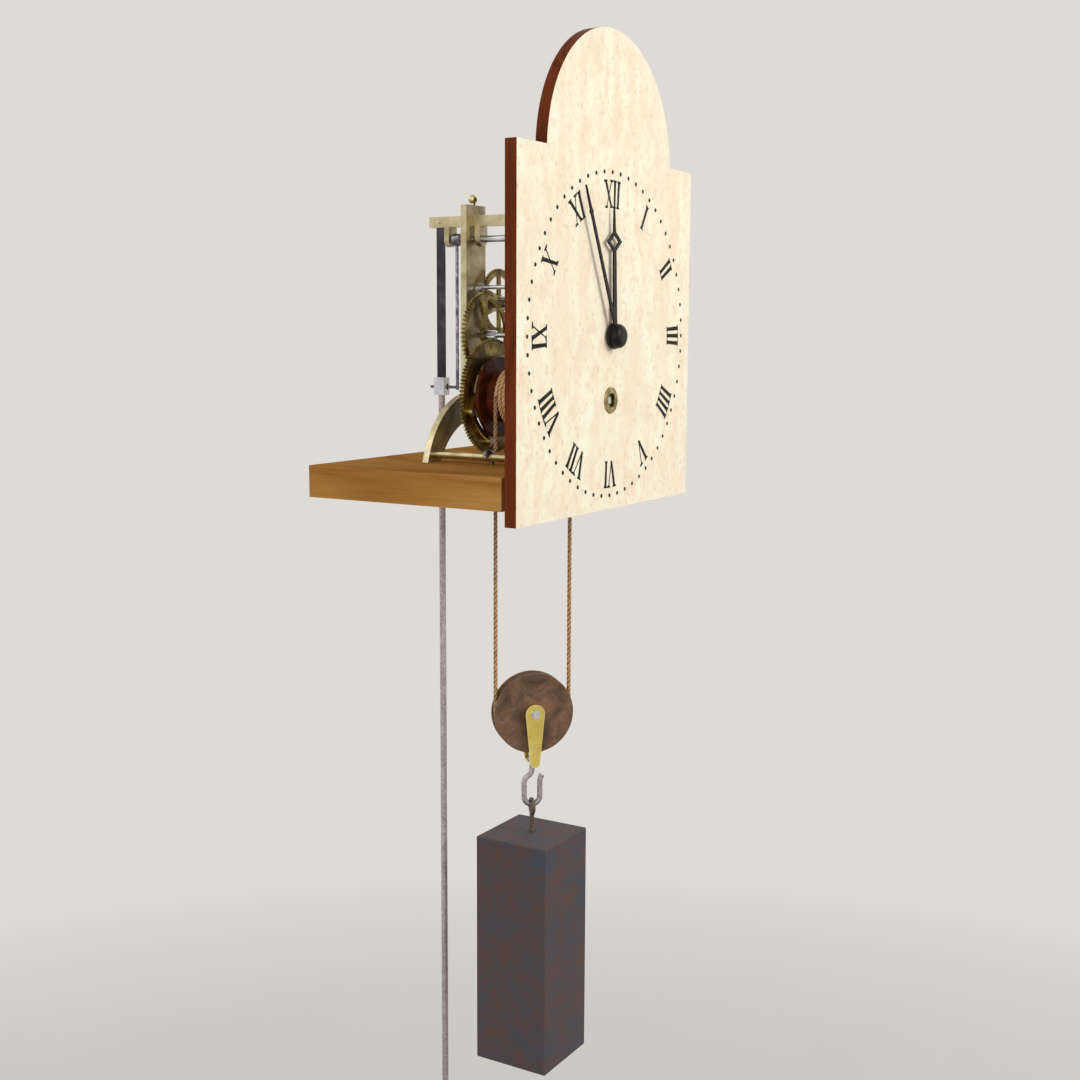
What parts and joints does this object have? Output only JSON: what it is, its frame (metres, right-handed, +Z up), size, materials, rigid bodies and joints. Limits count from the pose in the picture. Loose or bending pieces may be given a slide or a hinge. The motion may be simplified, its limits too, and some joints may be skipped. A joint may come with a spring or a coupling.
{
  "type": "longcase clock movement",
  "caption": "Longcase clock out of its case: break-arch dial with hands, brass weight-driven movement on a seatboard, pulley and weight on a line, and a seconds pendulum.",
  "frame": {"origin": "middle of the seatboard's underside, where the seatboard rests on the case's cheeks", "axes": "+Z up, the dial faces -Y, +X to the right of someone facing the dial"},
  "size_m": [0.305, 0.2216, 1.237],
  "materials": {
    "dial_wood": "painted cream",
    "pine": "waxed",
    "red_wood": "stained",
    "brown_wood": "worn",
    "brass": "polished",
    "steel": "bright",
    "blue_steel": "blued",
    "black_steel": "satin black",
    "iron": "rust flecked",
    "line": "twisted gut"
  },
  "bodies": {
    "frame": {"seatboard": "pine", "dial": "dial_wood", "winding_ring": "brass", "front_plate": "brass", "back_plate": "brass", "bottom_pillars": "brass", "suspension_bar": "brass", "suspension_pin": "steel", "pallet_cocks": "brass", "finial": "brass", "dial_feet": "brass", "seatboard_hooks": "steel", "hook_nuts": "steel", "minute_stud": "steel", "line_falls": "line", "line_knot": "line"},
    "barrel": {"barrel_drum": "red_wood", "wound_line": "line", "winding_arbor": "steel", "ratchet_wheel": "steel", "great_key": "brass"},
    "great": {"great_wheel": "brass", "click_screws": "steel", "click_spring": "brass"},
    "click": {"click": "brass"},
    "centre": {"centre_arbor": "steel", "centre_wheel": "brass", "centre_collet": "brass", "friction_spring": "brass"},
    "third": {"third_arbor": "steel", "third_wheel": "brass", "third_collet": "brass"},
    "escape": {"escape_arbor": "steel", "escape_wheel": "brass", "escape_collet": "brass"},
    "anchor": {"pallet_arbor": "steel", "anchor": "steel", "crutch": "steel"},
    "pendulum": {"suspension_spring": "blue_steel", "pendulum_block": "steel", "pendulum_rod": "steel"},
    "bob": {"pendulum_bob": "brass"},
    "nut": {"rating_nut": "brass"},
    "minute": {"cannon_wheel": "brass", "minute_hand": "black_steel", "hand_boss": "black_steel"},
    "minute_work": {"minute_wheel": "brass"},
    "hour": {"hour_wheel": "brass", "hour_hand": "black_steel"},
    "carrier": {"pulley_stirrup": "brass", "pulley_axle": "steel"},
    "sheave": {"pulley": "brown_wood"},
    "weight": {"weight_hook": "steel", "weight_eye": "steel", "weight_block": "iron"}
  },
  "joints": [
    {"name": "weight_fall", "type": "slide", "parent": "frame", "child": "carrier", "axis": [0, 0, 1], "range_m": [-1.1297, 0.1169], "deforming": ["line_falls"]},
    {"name": "barrel_turn", "type": "hinge", "parent": "frame", "child": "barrel", "pos_m": [0, -0.0315, 0.08201], "axis": [0, 1, 0], "range_deg": [-5223, 543]},
    {"name": "pulley_spin", "type": "hinge", "parent": "carrier", "child": "sheave", "pos_m": [0, -0.034, -0.2034], "axis": [0.693, 0.7209, 0], "range_deg": [-1883.6, 196.7]},
    {"name": "weight_swivel", "type": "hinge", "parent": "carrier", "child": "weight", "pos_m": [0, -0.034, -0.25], "axis": [0, 0, 1], "continuous": true},
    {"name": "escape_turn", "type": "hinge", "parent": "frame", "child": "escape", "pos_m": [0, -0.0515, 0.17901], "axis": [0, 1, 0], "continuous": true},
    {"name": "third_turn", "type": "hinge", "parent": "frame", "child": "third", "pos_m": [0.03017, 0.0185, 0.16625], "axis": [0, 1, 0], "continuous": true},
    {"name": "centre_turn", "type": "hinge", "parent": "frame", "child": "centre", "pos_m": [0, 0.0085, 0.13661], "axis": [0, 1, 0], "continuous": true},
    {"name": "great_turn", "type": "hinge", "parent": "frame", "child": "great", "pos_m": [0, 0.0085, 0.08201], "axis": [0, 1, 0], "continuous": true},
    {"name": "click_lift", "type": "hinge", "parent": "great", "child": "click", "pos_m": [-0.03921, 0.0055, 0.07002], "axis": [0, 1, 0], "range_deg": [-8, 2], "stiffness_Nm_per_rad": 0.002},
    {"name": "pendulum_swing", "type": "hinge", "parent": "frame", "child": "pendulum", "pos_m": [0, 0.0645, 0.23728], "axis": [0, 1, 0], "range_deg": [-2.25, 2.25]},
    {"name": "anchor_rock", "type": "hinge", "parent": "frame", "child": "anchor", "pos_m": [0, -0.0515, 0.22143], "axis": [0, 1, 0], "range_deg": [-2.55, 2.55]},
    {"name": "bob_slide", "type": "slide", "parent": "pendulum", "child": "bob", "axis": [0, 0, 1], "range_m": [-0.008, 0.008]},
    {"name": "rating_nut_turn", "type": "hinge", "parent": "bob", "child": "nut", "pos_m": [0, 0.0645, -0.818], "axis": [0, 0, 1], "range_deg": [-3610, 3610]},
    {"name": "minute_turn", "type": "hinge", "parent": "frame", "child": "minute", "pos_m": [0, -0.1115, 0.13661], "axis": [0, 1, 0], "continuous": true},
    {"name": "minute_wheel_turn", "type": "hinge", "parent": "frame", "child": "minute_work", "pos_m": [0, -0.0815, 0.17061], "axis": [0, 1, 0], "continuous": true},
    {"name": "hour_turn", "type": "hinge", "parent": "frame", "child": "hour", "pos_m": [0, -0.0865, 0.13661], "axis": [0, 1, 0], "continuous": true}
  ],
  "couplings": [
    {"joint": "barrel_turn", "follows": "weight_fall", "rad_per_m": 80.645},
    {"joint": "pulley_spin", "follows": "weight_fall", "rad_per_m": 29.07},
    {"joint": "third_turn", "follows": "escape_turn", "ratio": -0.125},
    {"joint": "centre_turn", "follows": "escape_turn", "ratio": 0.016667},
    {"joint": "great_turn", "follows": "escape_turn", "ratio": -0.0013889},
    {"joint": "anchor_rock", "follows": "pendulum_swing", "ratio": 1.1201},
    {"joint": "rating_nut_turn", "follows": "bob_slide", "rad_per_m": 7854},
    {"joint": "minute_wheel_turn", "follows": "minute_turn", "ratio": -1},
    {"joint": "hour_turn", "follows": "minute_turn", "ratio": 0.083333}
  ]
}
